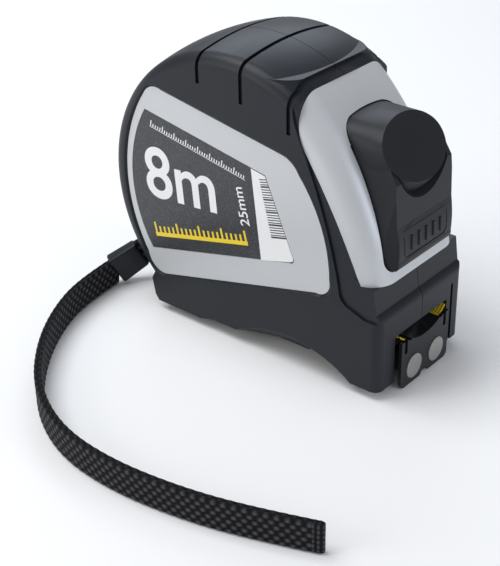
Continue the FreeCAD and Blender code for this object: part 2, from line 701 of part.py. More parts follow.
hub_place = (f"2 * {FLANGE_IN}", REEL_X, f"-{FLANGE_IN}", REEL_Z)
hub_tube = rod("hub_tube", "y", "Sizes.hub_radius", *hub_place)
hub_room = rod("hub_room", "y", "Sizes.hub_radius - Sizes.hub_wall", *hub_place)
hub = combined("Cut", "hub_ring", hub_tube, hub_room)
finished(combined("MultiFuse", "reel_drum", hub, flange("drum_flange", FLANGE_IN)), "reel_drum")
finished(flange("reel_disc", f"-{FLANGE_IN} - Sizes.flange_thick"), "reel_disc")
finished(ring_body("blade_coil", "Sizes.coil_radius", "Sizes.hub_radius", "Sizes.blade_width"), "blade_coil")
finished(ring_body("power_spring", "Sizes.hub_radius - Sizes.hub_wall - 0.1", "Sizes.post_radius + 1",
                   "Sizes.spring_width"), "power_spring")
finished(rod("reel_post", "y", "Sizes.post_radius", INSIDE_LENGTH, REEL_X, f"-({INSIDE_LENGTH}) / 2", REEL_Z),
         "reel_post")

# ---------------------------------------------------------------- blade
# The straight end of the blade, bowed across its width with the edges up.
BOW = (BLADE_HALF ** 2 + size("blade_bow") ** 2) / (2 * size("blade_bow"))
BOW_Z = size("blade_low") + BOW


def bowed(x_from, x_to, half_width, low, thick):
    """Strip of a tube wall that follows the blade's bow."""
    outer_r = BOW_Z - low
    wall = rod_x(outer_r, 0, BOW_Z, x_from, x_to).cut(rod_x(outer_r - thick, 0, BOW_Z, x_from - 1, x_to + 1))
    return wall.common(block(x_from, x_to, -half_width, half_width, low - 1, BOW_Z))


RIVET_SPOTS = ((front(10.8), 0.0), (front(6.0), -4.2), (front(6.0), 4.2))
THROUGH = (0, size("dome_z"))
blade = bowed(front(51.8), HOOK_X - 0.15, BLADE_HALF, size("blade_low"), size("blade_thick"))
blade = cut(blade, [rod_z(RIVET, x, y, *THROUGH) for x, y in RIVET_SPOTS])
formed("blade", largest(blade))
HEAD_R = RIVET + size("rivet_head")
TONGUE_GAP = 0.15
rivets = []
for x, y in RIVET_SPOTS:
    level = BOW_Z - math.sqrt(BOW ** 2 - y ** 2)
    over = level + size("blade_thick") + TONGUE_GAP + size("tongue_thick")
    shank = rod_z(RIVET, x, y, level - 0.6, over + 0.8)
    top_head = rod_z(HEAD_R, x, y, over + 0.7, over + 1.2)
    low_head = rod_z(HEAD_R, x, y, level - 1.0, level - 0.45)
    rivets.append(largest(fuse([shank, top_head, low_head])))
formed("hook_rivets", Part.makeCompound(rivets))

# ---------------------------------------------------------------- end hook
# A bent plate: the tongue runs back over the blade, slotted for the rivets so that the hook
# can float by its own thickness; the plate in front carries two magnets.
EAR = size("hook_ear")
FLOAT = size("hook_float") + 0.2
hook_marks = [Vector(HOOK_X, y, z) for y, z in (
    (-HOOK_HALF, 2.2), (-HOOK_HALF + 0.6, 0.6), (-HOOK_HALF + 2.2, 0.0),
    (-2.2, 0.0), (-1.2, 1.4), (1.2, 1.4), (2.2, 0.0), (HOOK_HALF - 2.2, 0.0),
    (HOOK_HALF - 0.6, 0.6), (HOOK_HALF, 2.2), (HOOK_HALF, EAR), (HOOK_HALF - 3.0, EAR),
    (0.0, EAR - 2.4), (-HOOK_HALF + 3.0, EAR), (-HOOK_HALF, EAR))]
ARC_STARTS = (0, 7, 11)
edges = []
here = 0
while here < len(hook_marks):
    if here in ARC_STARTS:
        edges.append(Part.Arc(*hook_marks[here:here + 3]).toShape())
        here += 2
    else:
        edges.append(Part.makeLine(hook_marks[here], hook_marks[(here + 1) % len(hook_marks)]))
        here += 1
plate = Part.Face(Part.Wire(edges)).extrude(Vector(size("hook_thick"), 0, 0))
tongue = bowed(front(14.2), HOOK_X + size("hook_thick"), 8.0,
               size("blade_low") + size("blade_thick") + TONGUE_GAP, size("tongue_thick"))
fit_r = RIVET + 0.15
slots = []
for x, y in RIVET_SPOTS:
    slots.append(fuse([rod_z(fit_r, x, y, *THROUGH), rod_z(fit_r, x - FLOAT, y, *THROUGH),
                       block(x - FLOAT, x, y - fit_r, y + fit_r, *THROUGH)]))
slots += [block(front(4.2), front(-5.8), y - 0.7, y + 0.7, EAR - 4.6, EAR + 3.0)
          for y in (-HOOK_HALF + 2.3, HOOK_HALF - 2.3)]
slots += [rod_x(size("magnet_radius"), y, size("magnet_z"), front(4.2), front(-5.8))
          for y in (-size("magnet_spread"), size("magnet_spread"))]
formed("end_hook", largest(cut(fuse([tongue, plate]), slots)))
for label, sign in (("hook_magnet_left", "-"), ("hook_magnet_right", "")):
    magnet = rod(label, "x", "Sizes.magnet_radius", "Sizes.hook_thick + Sizes.magnet_proud",
                 "Sizes.nose_x + Sizes.hook_gap", f"{sign}Sizes.magnet_spread", "Sizes.magnet_z")
    finished(magnet, label)
bumper_length = "Sizes.mouth_depth + Sizes.hook_gap - 0.4"
finished(slab("hook_bumper", bumper_length, "Sizes.bumper_width", "Sizes.bumper_height",
              "Sizes.nose_x - Sizes.mouth_depth", "-Sizes.bumper_width / 2", "Sizes.base_z + 1.2"), "hook_bumper")

# ---------------------------------------------------------------- labels
label_solid = prism(label_face(0.0), LABEL_Y - size("label_thick"), LABEL_Y)
formed("label_left", label_solid)
formed("label_right", mirrored(label_solid))

# ---------------------------------------------------------------- strap lug and bar
# A moulded fork at the back of the case holds an upright steel bar for the strap.
LUG_HALF = size("lug_width") / 2
ARM_TALL = size("lug_arm")
lug = block(LUG_FRONT - 4.4, LUG_FRONT, -LUG_HALF, LUG_HALF, LUG_LOW, LUG_TOP)
for z_from, z_to in ((LUG_LOW, LUG_LOW + ARM_TALL), (LUG_TOP - ARM_TALL, LUG_TOP)):
    arm = block(BAR_X, LUG_FRONT, -LUG_HALF, LUG_HALF, z_from, z_to)
    lug = fuse([lug, arm, rod_z(4.0, BAR_X, 0, z_from, z_to)])
bar_solid = rod_z(size("bar_radius"), BAR_X, 0, LUG_LOW + 1.0, LUG_TOP - 1.0)
formed("strap_lug", largest(lug.cut(bar_solid)))
finished(rod("strap_bar", "z", "Sizes.bar_radius", "Sizes.lug_height - 2", str(BAR_X), "0",
             "Sizes.bar_z - Sizes.lug_height / 2 + 1"), "strap_bar")

# ---------------------------------------------------------------- wrist strap
# Flat webbing standing on its edge: a short root looped round the bar, a moulded keeper, and the
# folded loop, both layers together, lying in an open curve on the floor.
KEEPER_OUT = Vector(-60.6, -20.4, 5.4)
KEEPER_IN = Vector(-55.0, -12.2, 11.0)
STRAP = size("strap_thick")
ROOT_TALL_Z = size("strap_width") - 0.6


def oriented_bar(start, end, across, tall):
    """Rectangular bar from one point to another, its tall side kept as upright as it can be."""
    along = end.sub(start)
    length = along.Length
    along.normalize()
    level = along.cross(Z_AXIS).normalize()
    upright = level.cross(along).normalize()
    bar = Part.makeBox(length, across, tall, Vector(0, -across / 2, -tall / 2))
    frame = FreeCAD.Matrix(along.x, -level.x, upright.x, start.x, along.y, -level.y, upright.y, start.y,
                           along.z, -level.z, upright.z, start.z, 0, 0, 0, 1)
    return bar.transformGeometry(frame)


keeper_thick = STRAP + 2 * size("keeper_wall")
formed("strap_keeper", oriented_bar(KEEPER_IN, KEEPER_OUT, keeper_thick, size("strap_width") + 0.6))
loop_z = (BAR_Z - ROOT_TALL_Z / 2, BAR_Z + ROOT_TALL_Z / 2)
loop_hole = rod_z(size("bar_radius") + size("running_gap"), BAR_X, 0, *THROUGH)
loop = rod_z(size("bar_radius") + STRAP / 2, BAR_X, 0, *loop_z)
tail = oriented_bar(Vector(BAR_X - 0.9, -1.4, BAR_Z), KEEPER_IN, STRAP, ROOT_TALL_Z)
formed("strap_root", largest(fuse([loop, tail]).cut(loop_hole)))

# Strap centre line seen from above, from the keeper to the fold.
ROUTE = [(-60.4, -20.0), (-58.8, -37.5), (-51.8, -55.5), (-40.2, -73.2), (-23.8, -89.6), (-3.6, -99.8),
         (18.2, -102.2), (42.0, -99.4), (63.6, -93.6), (82.6, -86.2)]
STRAP_LOW = 0.2


def rounded_route(points):
    """Arcs that join the straight runs: (start, middle, end, centre, radius) per bend."""
    bends = []
    for before, here, after in zip(points, points[1:], points[2:]):
        p, q, r = (Vector(x, y, 0) for x, y in (before, here, after))
        behind, ahead = p.sub(q), r.sub(q)
        turn = math.pi - behind.getAngle(ahead)
        radius = 0.45 * min(behind.Length, ahead.Length) / math.tan(turn / 2)
        reach = radius * math.tan(turn / 2)
        behind.normalize()
        ahead.normalize()
        bisect = behind.add(ahead).normalize()
        centre = q.add(bisect.multiply(radius / math.cos(turn / 2)))
        to_corner = q.sub(centre).normalize()
        middle = centre.add(to_corner * radius)
        bends.append((q.add(behind * reach), middle, q.add(ahead * reach), centre, radius))
    return bends


def turn_sign(start, middle, end):
    """+1 for a bend to the left, whose outside is on the right."""
    return 1 if middle.sub(start).cross(end.sub(middle)).z > 0 else -1


def beside(before, after, place, shift):
    """The place moved to the right of the run's direction."""
    run = Vector(after[0] - before[0], after[1] - before[1], 0).normalize()
    return Vector(place[0] + run.y * shift, place[1] - run.x * shift, 0)


def side_edges(first, marks, last):
    """Lines and arcs along one side of the band."""
    edges = []
    here = first
    for start, middle, end in marks:
        edges.append(Part.makeLine(here, start))
        edges.append(Part.Arc(start, middle, end).toShape())
        here = end
    edges.append(Part.makeLine(here, last))
    return edges


def strap_band(points, thick):
    """Plan-view band of one thickness that follows the rounded route."""
    bends = rounded_route(points)
    print("strap radii", [round(bend[4], 1) for bend in bends])
    sides = []
    for shift in (-thick / 2, thick / 2):
        marks = []
        for start, middle, end, centre, radius in bends:
            scale = (radius + shift * turn_sign(start, middle, end)) / radius
            marks.append([centre.add(p.sub(centre) * scale) for p in (start, middle, end)])
        first = beside(points[0], points[1], points[0], shift)
        last = beside(points[-2], points[-1], points[-1], shift)
        sides.append((first, marks, last))
    (first, marks, last), (far_first, far_marks, far_last) = sides
    edges = side_edges(first, marks, last)
    edges.append(Part.makeLine(last, far_last))
    edges += side_edges(far_last, [m[::-1] for m in far_marks[::-1]], far_first)
    edges.append(Part.makeLine(far_first, first))
    return Part.Face(Part.Wire(edges))


band = strap_band(ROUTE, STRAP)
band.translate(Vector(0, 0, STRAP_LOW))
strap = band.extrude(Vector(0, 0, size("strap_width")))
formed("wrist_strap", strap)
print("strap length", round(strap.Volume / (STRAP * size("strap_width")), 1))

# ---------------------------------------------------------------- checks and export
doc.recompute()
for feature in doc.Objects:
    if "Invalid" in feature.State or "Error" in feature.State:
        raise RuntimeError(f"{feature.Label} failed to compute")
for feature in PIECES:
    if feature.Shape.isNull() or not feature.Shape.isValid():
        raise RuntimeError(f"{feature.Label} is not a valid solid")
for feature in PIECES:
    feature.Shape.exportStep(f"parts/{feature.Label}.step")
    box = feature.Shape.BoundBox
    print(f"{feature.Label:20s} {len(feature.Shape.Solids)} {feature.Shape.Volume:9.1f}"
          f"  x {box.XMin:6.1f} {box.XMax:6.1f}  y {box.YMin:6.1f} {box.YMax:6.1f}"
          f"  z {box.ZMin:6.1f} {box.ZMax:6.1f}")
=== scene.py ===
import math

import bmesh
import bpy
from mathutils import Matrix, Vector


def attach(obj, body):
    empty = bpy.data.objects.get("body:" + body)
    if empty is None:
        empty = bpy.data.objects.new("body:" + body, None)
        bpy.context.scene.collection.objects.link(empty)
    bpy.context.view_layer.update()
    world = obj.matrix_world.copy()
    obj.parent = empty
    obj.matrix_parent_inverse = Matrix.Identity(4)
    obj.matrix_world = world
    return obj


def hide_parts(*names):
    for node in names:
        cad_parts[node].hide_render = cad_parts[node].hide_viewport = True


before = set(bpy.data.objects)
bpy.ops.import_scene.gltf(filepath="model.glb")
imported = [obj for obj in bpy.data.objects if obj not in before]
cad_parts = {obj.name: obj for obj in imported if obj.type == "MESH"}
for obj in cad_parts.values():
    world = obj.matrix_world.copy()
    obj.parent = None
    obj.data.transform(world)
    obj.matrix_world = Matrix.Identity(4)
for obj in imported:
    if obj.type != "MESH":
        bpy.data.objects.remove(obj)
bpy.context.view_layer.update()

MM = 0.001

# ---------------------------------------------------------------- view, light and floor
# The tape is seen from above its nose, a little to its left, on a plain white floor. The light is
# a bright room with broad lamps overhead, beside the label, behind the crown and low in front.
azimuth, elevation = math.radians(38.207), math.radians(30.331)
away = Vector((math.sin(azimuth) * math.cos(elevation), -math.cos(azimuth) * math.cos(elevation),
               math.sin(elevation)))
across = Vector((math.cos(azimuth), math.sin(azimuth), 0))
upward = away.cross(across)
eye = Vector((0.238292, -0.294879, 0.234209))
camera = bpy.data.objects.new("camera", bpy.data.cameras.new("camera"))
bpy.context.collection.objects.link(camera)
camera.matrix_world = Matrix.Translation(eye) @ Matrix((across, upward, away)).transposed().to_4x4()
camera.data.lens = 83.45
camera.data.shift_x = -0.0883
camera.data.clip_start = 0.01
bpy.context.scene.camera = camera

world = bpy.data.worlds.new("room")
world.use_nodes = True
world.node_tree.nodes["Background"].inputs["Color"].default_value = (1.0, 1.0, 1.0, 1)
world.node_tree.nodes["Background"].inputs["Strength"].default_value = 0.34
bpy.context.scene.world = world
bpy.context.scene.view_settings.view_transform = "Standard"


def lamp(name, place, target, width, height, power, tint):
    """Soft rectangular lamp that faces a point."""
    light = bpy.data.lights.new(name, "AREA")
    light.shape = "RECTANGLE"
    light.size, light.size_y = width, height
    light.energy = power
    light.color = tint
    stand = bpy.data.objects.new(name, light)
    stand.location = place
    stand.rotation_euler = (Vector(place) - Vector(target)).to_track_quat("Z", "Y").to_euler()
    bpy.context.collection.objects.link(stand)


lamp("overhead", (-0.3, -0.2, 0.75), (0, 0, 0.06), 0.55, 0.55, 4.4, (0.95, 0.97, 1.0))
lamp("label_side", (-0.45, -0.75, 0.35), (0, 0, 0.05), 0.5, 0.5, 2.2, (1.0, 1.0, 1.0))
lamp("behind_high", (-0.42, 0.5, 0.5), (0, 0, 0.08), 0.5, 0.35, 1.5, (0.8, 0.88, 1.0))
lamp("front_low", (0.75, 0.05, 0.25), (0, 0, 0.04), 0.35, 0.35, 1.6, (0.8, 0.86, 1.0))

bpy.ops.object.select_all(action="DESELECT")
bpy.ops.mesh.primitive_plane_add(size=6.0, location=(0, 0, 0))
floor = bpy.context.object
floor.name = "floor"


class Wire:
    """One value in a finish's nodes; arithmetic on it adds Math nodes."""

    def __init__(self, finish, socket):
        self.finish, self.socket = finish, socket

    def do(self, operation, *others):
        return self.finish.node("Math", {"operation": operation}, dict(enumerate((self,) + others)))

    def __add__(self, other):
        return self.do("ADD", other)

    def __mul__(self, other):
        return self.do("MULTIPLY", other)

    def __sub__(self, other):
        return self.do("SUBTRACT", other)

    def __rsub__(self, other):
        return self.finish.node("Math", {"operation": "SUBTRACT"}, {0: other, 1: self})

    __radd__ = __add__
    __rmul__ = __mul__

    def __lt__(self, other):
        return self.do("LESS_THAN", other)

    def __gt__(self, other):
        return self.do("GREATER_THAN", other)


class Finish:
    """A material whose surface is one Principled shader."""

    def __init__(self, name, **constants):
        self.material = bpy.data.materials.new(name)
        self.material.use_nodes = True
        self.tree = self.material.node_tree
        self.shader = self.tree.nodes["Principled BSDF"]
        for socket, value in constants.items():
            self.shader.inputs[socket.replace("_", " ")].default_value = value

    def node(self, kind, settings, inputs, out=0):
        """Adds a node, sets it, then fills its sockets with values or wires."""
        made = self.tree.nodes.new("ShaderNode" + kind)
        for name, value in settings.items():
            setattr(made, name, value)
        for key, value in inputs.items():
            if isinstance(value, Wire):
                self.tree.links.new(value.socket, made.inputs[key])
            else:
                made.inputs[key].default_value = value
        return Wire(self, made.outputs[out])

    def mix(self, amount, low, high):
        """Colour between two others."""
        return self.node("Mix", {"data_type": "RGBA"}, {0: amount, 6: low, 7: high}, 2)

    def place(self):
        """Object coordinates."""
        return self.node("TexCoord", {}, {}, 3)

    def axis(self, number):
        """One of the object coordinates, in millimetres."""
        return self.node("SeparateXYZ", {}, {0: self.place()}, number) * 1000.0

    def noise(self, scale, detail=2.0):
        """Cloudy pattern from 0 to 1, its grain 1 / scale metres."""
        return self.node("TexNoise", {}, {"Vector": self.place(), "Scale": scale, "Detail": detail})

    def feed(self, socket, wire):
        self.tree.links.new(wire.socket, self.shader.inputs[socket])

    def bump(self, height, strength, depth):
        """Relief of so many metres."""
        relief = self.node("Bump", {}, {"Strength": strength, "Distance": depth, "Height": height})
        self.feed("Normal", relief)


floor_finish = Finish("floor_paper", Roughness=0.9)
floor_finish.feed("Base Color", floor_finish.mix(floor_finish.noise(3.0), (0.93, 0.93, 0.93, 1),
                                                 (0.95, 0.95, 0.95, 1)))
floor.data.materials.append(floor_finish.material)


def paint(names, finish):
    """Gives CAD pieces their finish."""
    for name in names:
        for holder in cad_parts[name].material_slots:
            holder.material = finish.material


# ---------------------------------------------------------------- wrist strap
# Two layers of black nylon webbing, 10 mm wide, from the keeper to the fold. It stands on its
# edge and lies in an open curve. The plain weave has six ribs across each face.
ROUTE = [(-60.4, -20.0), (-58.8, -37.5), (-51.8, -55.5), (-40.2, -73.2), (-23.8, -89.6), (-3.6, -99.8),
         (18.2, -102.2), (42.0, -99.4), (63.6, -93.6), (82.6, -86.2)]
STRAP_MIDDLE = 5.2
LAYER = 1.1
RIB = 1.65
PICK = 1.5
STEP = 0.3
EDGE_HIGH = 4.85
RIBBED_HALF = 4.6
THREAD_OUT = 0.16

webbing = Finish("woven_nylon", Roughness=0.75, Specular_IOR_Level=0.2)
lift = webbing.node("Attribute", {"attribute_name": "lift"}, {}, 2)
speck = webbing.noise(2600.0)
# Base colour follows the thread height: near black where the threads sink, as painted shade between the ribs,
# and dark grey on the raised thread tops, as painted sheen, with a fine random speck.
webbing.feed("Base Color", webbing.mix(lift * lift * (0.35 + speck), (0.004, 0.004, 0.005, 1),
                                       (0.085, 0.085, 0.095, 1)))
webbing.feed("Roughness", 0.9 - 0.3 * lift)
webbing.bump(webbing.noise(5200.0), 0.5, 0.00012)


def nurbs_line(name, points):
    """Open smooth line through the neighbourhood of its control points, and the points along it."""
    data = bpy.data.curves.new(name, "CURVE")
    data.dimensions = "3D"
    data.resolution_u = 40
    spline = data.splines.new("NURBS")
    spline.points.add(len(points) - 1)
    for knot, point in zip(spline.points, points):
        knot.co = (*[value * MM for value in point], 1)
    spline.order_u = 3
    spline.use_endpoint_u = True
    line = bpy.data.objects.new(name, data)
    bpy.context.collection.objects.link(line)
    bpy.context.view_layer.update()
    mesh = bpy.data.meshes.new_from_object(line)
    places = [vertex.co.copy() for vertex in mesh.vertices]
    bpy.data.meshes.remove(mesh)
    bpy.data.objects.remove(line)
    return places


def even_steps(places, step):
    """The line again, in equal steps."""
    out, carry = [places[0]], 0.0
    for start, end in zip(places, places[1:]):
        length = (end - start).length
        reach = step - carry
        while reach <= length:
            out.append(start.lerp(end, reach / length))
            reach += step
        carry = length - (reach - step)
    return out


def band_section(layers):
    """Outline of the webbing's section in millimetres: (through, up, is it on a face)."""
    half = LAYER * layers / 2
    top = EDGE_HIGH
    ribs = [(half, RIBBED_HALF * (n / 17 - 1), 1) for n in range(35)]
    if layers == 2:
        edge = [(half - 0.35, top, 0), (half - 0.8, top, 0), (0.0, top - 0.7, 0), (0.8 - half, top, 0),
                (0.35 - half, top, 0)]
    else:
        edge = [(half - 0.3, top, 0), (0.3 - half, top, 0)]
    right = ribs + edge
    return right + [(-through, -rise, face) for through, rise, face in right]


def webbing_band(name, places, layers):
    """Woven band that follows a line, with the ribs of its weave standing out."""
    section = band_section(layers)
    mesh = bmesh.new()
    lift_layer = mesh.verts.layers.float.new("lift")
    rings = []
    total = len(places)
    step = (places[1] - places[0]).length
    plumb = Vector((0, 0, 1))
    for number, place in enumerate(places):
        ahead = places[min(number + 1, total - 1)] - places[max(number - 1, 0)]
        ahead.normalize()
        upright = (plumb - ahead * plumb.dot(ahead)).normalized()
        sideways = ahead.cross(upright)
        run = number * step / MM
        left = (total - 1 - number) * step / MM
        narrow = math.sqrt(max(1 - (1 - min(left / 1.2, 1)) ** 2, 0.12))
        ring = []
        for through, rise, face in section:
            row = (rise + 4.95) / RIB
            across_rib = 2 * (row % 1) - 1
            over = 0.5 + 0.5 * math.cos(math.pi * (run / PICK + int(row) + (0 if through > 0 else 1)))
            if left < 3.0:
                over = 0.5 + 0.5 * math.cos(2 * math.pi * left / 1.5)
            swell = over * math.sqrt(max(1 - across_rib ** 2, 0)) if face else 0.45 * over
            out = THREAD_OUT * swell * (1 if through > 0 else -1) * face
            tall = rise * (1 + 0.012 * math.sin(2 * math.pi * run / 1.5) * (1 - face))
            spot = place + (sideways * (through * narrow + out) + upright * tall) * MM
            vertex = mesh.verts.new(spot)
            vertex[lift_layer] = swell
            ring.append(vertex)
        rings.append(ring)
    for near, far in zip(rings, rings[1:]):
        for n in range(len(section)):
            after = (n + 1) % len(section)
            mesh.faces.new((near[n], near[after], far[after], far[n]))
    mesh.faces.new(rings[0])
    mesh.faces.new(rings[-1][::-1])
    bmesh.ops.recalc_face_normals(mesh, faces=mesh.faces)
    data = bpy.data.meshes.new(name)
    mesh.to_mesh(data)
    mesh.free()
    data.shade_smooth()
    data.materials.append(webbing.material)
    band = bpy.data.objects.new(name, data)
    bpy.context.collection.objects.link(band)
    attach(band, "case")
    return band


strap_line = even_steps(nurbs_line("strap_line", [(x, y, STRAP_MIDDLE) for x, y in ROUTE]), STEP * MM)
strap = webbing_band("wrist_strap_webbing", strap_line, 2)
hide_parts("wrist_strap")

# ---------------------------------------------------------------- strap root, keeper and lug
# One layer of the same webbing goes round the upright bar and back into the keeper, a moulded
# rubber sleeve with rounded corners and a rolled lip. The bar is held in a black moulded fork.
KEEPER_IN, KEEPER_OUT = Vector((-55.0, -12.2, 11.0)), Vector((-60.6, -20.4, 5.4))
BAR = Vector((-49.998, 0, 15.0))
keeper_run = (KEEPER_OUT - KEEPER_IN).normalized()
keeper_side = keeper_run.cross(Vector((0, 0, 1))).normalized()
keeper_up = keeper_side.cross(keeper_run)

tail = Vector((KEEPER_IN.x - BAR.x, KEEPER_IN.y, 0)).normalized()
tail_side = Vector((-tail.y, tail.x, 0))
root_points = []
for side in (1, -1):
    beside = [KEEPER_IN + keeper_run * 3.0 - keeper_side * 0.62 * side, KEEPER_IN - keeper_side * 0.66 * side,
              BAR + tail * 7.0 + Vector((0, 0, -1.6)) + tail_side * 0.9 * side,
              BAR + tail * 2.4 + Vector((0, 0, -0.3)) + tail_side * 2.0 * side,
              BAR - tail * 0.6 + tail_side * 2.3 * side, BAR - tail * 2.0 + tail_side * 1.5 * side]
    root_points += beside if side > 0 else beside[::-1]
root = webbing_band("strap_root_webbing", even_steps(nurbs_line("root_line", root_points), STEP * MM), 1)
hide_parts("strap_root")


def settle(name, finish, body):
    """Names the active object, sets its finish and the body that it belongs to."""
    piece = bpy.context.object
    piece.name = name
    piece.data.name = name
    piece.data.materials.clear()
    piece.data.materials.append(finish.material)
    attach(piece, body)
    return piece


rubber = Finish("soft_rubber", Specular_IOR_Level=0.3)
rubber_cloud = rubber.noise(38.0, 3.0)
rubber_grain = rubber.noise(3800.0, 1.0)
rubber.feed("Base Color", rubber.mix(rubber_cloud, (0.0075, 0.0095, 0.014, 1), (0.012, 0.015, 0.0215, 1)))
rubber.feed("Roughness", 0.34 + 0.08 * rubber_cloud + 0.05 * rubber_grain)
rubber.bump(rubber_grain, 0.12, 0.00008)

bpy.ops.object.select_all(action="DESELECT")
bpy.ops.mesh.primitive_cube_add(size=1.0)
bpy.ops.object.mode_set(mode="EDIT")
bpy.ops.mesh.select_all(action="SELECT")
bpy.ops.transform.resize(value=(11.0 * MM, 5.3 * MM, 10.5 * MM))
bpy.ops.mesh.bevel(offset=0.9 * MM, segments=3, profile=0.6)
bpy.ops.object.mode_set(mode="OBJECT")
frame_axes = Matrix((keeper_run, keeper_side, keeper_up)).transposed().to_4x4()
keeper_middle = (KEEPER_IN + KEEPER_OUT) / 2 * MM
keeper = settle("strap_keeper_sleeve", rubber, "case")
for vertex in keeper.data.vertices:
    if vertex.co.x < -4.0 * MM:
        vertex.co.y *= 0.86
        vertex.co.z *= 0.93
keeper.data.transform(Matrix.Translation(keeper_middle) @ frame_axes)
keeper.data.shade_smooth()
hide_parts("strap_keeper")

plastic = Finish("black_moulding", Specular_IOR_Level=0.28)
plastic_cloud = plastic.noise(60.0, 3.0)
plastic_grain = plastic.noise(4200.0, 1.0)
plastic.feed("Base Color", plastic.mix(plastic_cloud, (0.0085, 0.0095, 0.013, 1), (0.013, 0.0145, 0.019, 1)))
plastic.feed("Roughness", 0.38 + 0.1 * plastic_grain)
plastic.bump(plastic_grain, 0.16, 0.00008)
steel = Finish("zinc_plate", Metallic=1.0)
steel_cloud = steel.noise(700.0, 4.0)
steel.feed("Base Color", steel.mix(steel_cloud, (0.46, 0.45, 0.43, 1), (0.62, 0.62, 0.6, 1)))
steel.feed("Roughness", 0.28 + 0.2 * steel_cloud)
paint(["strap_lug"], plastic)
paint(["strap_bar"], steel)

# ---------------------------------------------------------------- rubber covers
# Soft black rubber, moulded over both halves of the case, satin on the crown.
paint(["rubber_cover_left", "rubber_cover_right", "hook_bumper"], rubber)

# ---------------------------------------------------------------- hard case, screws and bezel
# Silver-grey painted plastic. The case halves show as the side windows; the bezel closes the
# sloping front. Zinc-plated screws hold the halves together from the right.
silver = Finish("silver_paint", Metallic=0.25, Specular_IOR_Level=0.5, Coat_Weight=0.25, Coat_Roughness=0.22)
flake = silver.noise(6500.0, 1.0)
silver_cloud = silver.noise(30.0, 2.0)
silver.feed("Base Color", silver.mix(0.6 * flake + 0.4 * silver_cloud, (0.52, 0.535, 0.55, 1),
                                     (0.62, 0.635, 0.65, 1)))
silver.feed("Roughness", 0.36 + 0.12 * flake)
paint(["case_shell_left", "case_shell_right", "front_bezel"], silver)
paint(["case_screws", "thumb_lock_pin", "lock_lever_pin", "reel_post"], steel)

# ---------------------------------------------------------------- thumb lock, lever and spring
# Black moulding with a fine grain. An arrow head and a frame with five press marks stand on
# the skirt. The lever and its leaf spring are behind it.
paint(["thumb_lock", "lock_lever"], plastic)
blued = Finish("blued_spring", Metallic=1.0)
blued_cloud = blued.noise(500.0, 3.0)
blued.feed("Base Color", blued.mix(blued_cloud, (0.16, 0.18, 0.24, 1), (0.28, 0.3, 0.36, 1)))
blued.feed("Roughness", 0.3 + 0.15 * blued_cloud)
paint(["lock_spring", "power_spring"], blued)


def skirt_x(z):
    """Front of the skirt at a height, in millimetres."""
    return 54.2 - 0.019 * max(z - 48.5, 0) ** 2 - 0.002 * max(48.5 - z, 0) ** 2


def as_mesh(name, data, finish, body):
    """Turns curve or text data into a named mesh piece."""
    drawn = bpy.data.objects.new(name, data)
    bpy.context.collection.objects.link(drawn)
    bpy.ops.object.select_all(action="DESELECT")
    drawn.select_set(True)
    bpy.context.view_layer.objects.active = drawn
    bpy.ops.object.convert(target="MESH")
    return settle(name, finish, body)


def raised_line(name, marks, closed, radius):
    """Moulded bead that follows the skirt through (y, z) marks."""
    data = bpy.data.curves.new(name, "CURVE")
    data.dimensions = "3D"
    data.bevel_depth = radius * MM
    data.bevel_resolution = 2
    spline = data.splines.new("POLY")
    fine = []
    pairs = zip(marks, marks[1:] + marks[:1]) if closed else zip(marks, marks[1:])
    for (y, z), (next_y, next_z) in pairs:
        fine += [(y + (next_y - y) * n / 6, z + (next_z - z) * n / 6) for n in range(6)]
    if not closed:
        fine.append(marks[-1])
    spline.points.add(len(fine) - 1)
    for knot, (y, z) in zip(spline.points, fine):
        knot.co = (skirt_x(z) * MM, y * MM, z * MM, 1)
    spline.use_cyclic_u = closed
    as_mesh(name, data, plastic, "thumb_lock").data.shade_smooth()


BEAD = 0.22
MARK_BEAD = 0.55
raised_line("lock_arrow", [(-11.4, 54.2), (11.4, 54.2), (0.0, 57.6)], True, BEAD)
raised_line("lock_frame", [(-11.4, 52.6), (-11.2, 46.6), (-10.0, 45.2), (10.0, 45.2), (11.2, 46.6),
                           (11.4, 52.6)], False, BEAD)
for number in range(5):
    y = -7.6 + 3.8 * number
    raised_line(f"press_mark_{number + 1}", [(y, 47.2), (y, 51.8)], False, MARK_BEAD)

# ---------------------------------------------------------------- reel
# Black flanged drum on a steel post. The wound blade shows its edges as fine yellow rings, with painted shade
# between the turns.
paint(["reel_drum", "reel_disc"], plastic)
enamel = Finish("blade_enamel", Specular_IOR_Level=0.5, Coat_Weight=0.4, Coat_Roughness=0.15)
along, aside = enamel.axis(0), enamel.axis(1)
edge = 12.5 - aside.do("ABSOLUTE")
one, five, ten = [(along.do("MODULO", pitch).do("ABSOLUTE") < width) * (edge < length)
                  for pitch, width, length in ((1.0, 0.22, 3.0), (5.0, 0.28, 4.6), (10.0, 0.36, 6.4))]
ink = one.do("MAXIMUM", five).do("MAXIMUM", ten)
wear = enamel.noise(400.0, 3.0)
yellow = enamel.mix(wear, (0.78, 0.5, 0.015, 1), (0.86, 0.6, 0.03, 1))
enamel.feed("Base Color", enamel.mix(ink, yellow, (0.01, 0.01, 0.01, 1)))
enamel.feed("Roughness", 0.3 + 0.15 * wear)
wound = Finish("wound_enamel", Roughness=0.45)
# Yellow rings for the blade's edges, with dark brown lines of painted shade in the gaps between the wound
# turns.
turns = (wound.axis(0) + 6.0) * (wound.axis(0) + 6.0) + (wound.axis(2) - 45.0) * (wound.axis(2) - 45.0)
turn_gap_shade = turns.do("SQRT").do("MODULO", 0.6) < 0.2
wound.feed("Base Color", wound.mix(turn_gap_shade, (0.75, 0.5, 0.03, 1), (0.12, 0.08, 0.02, 1)))
paint(["blade_coil"], wound)

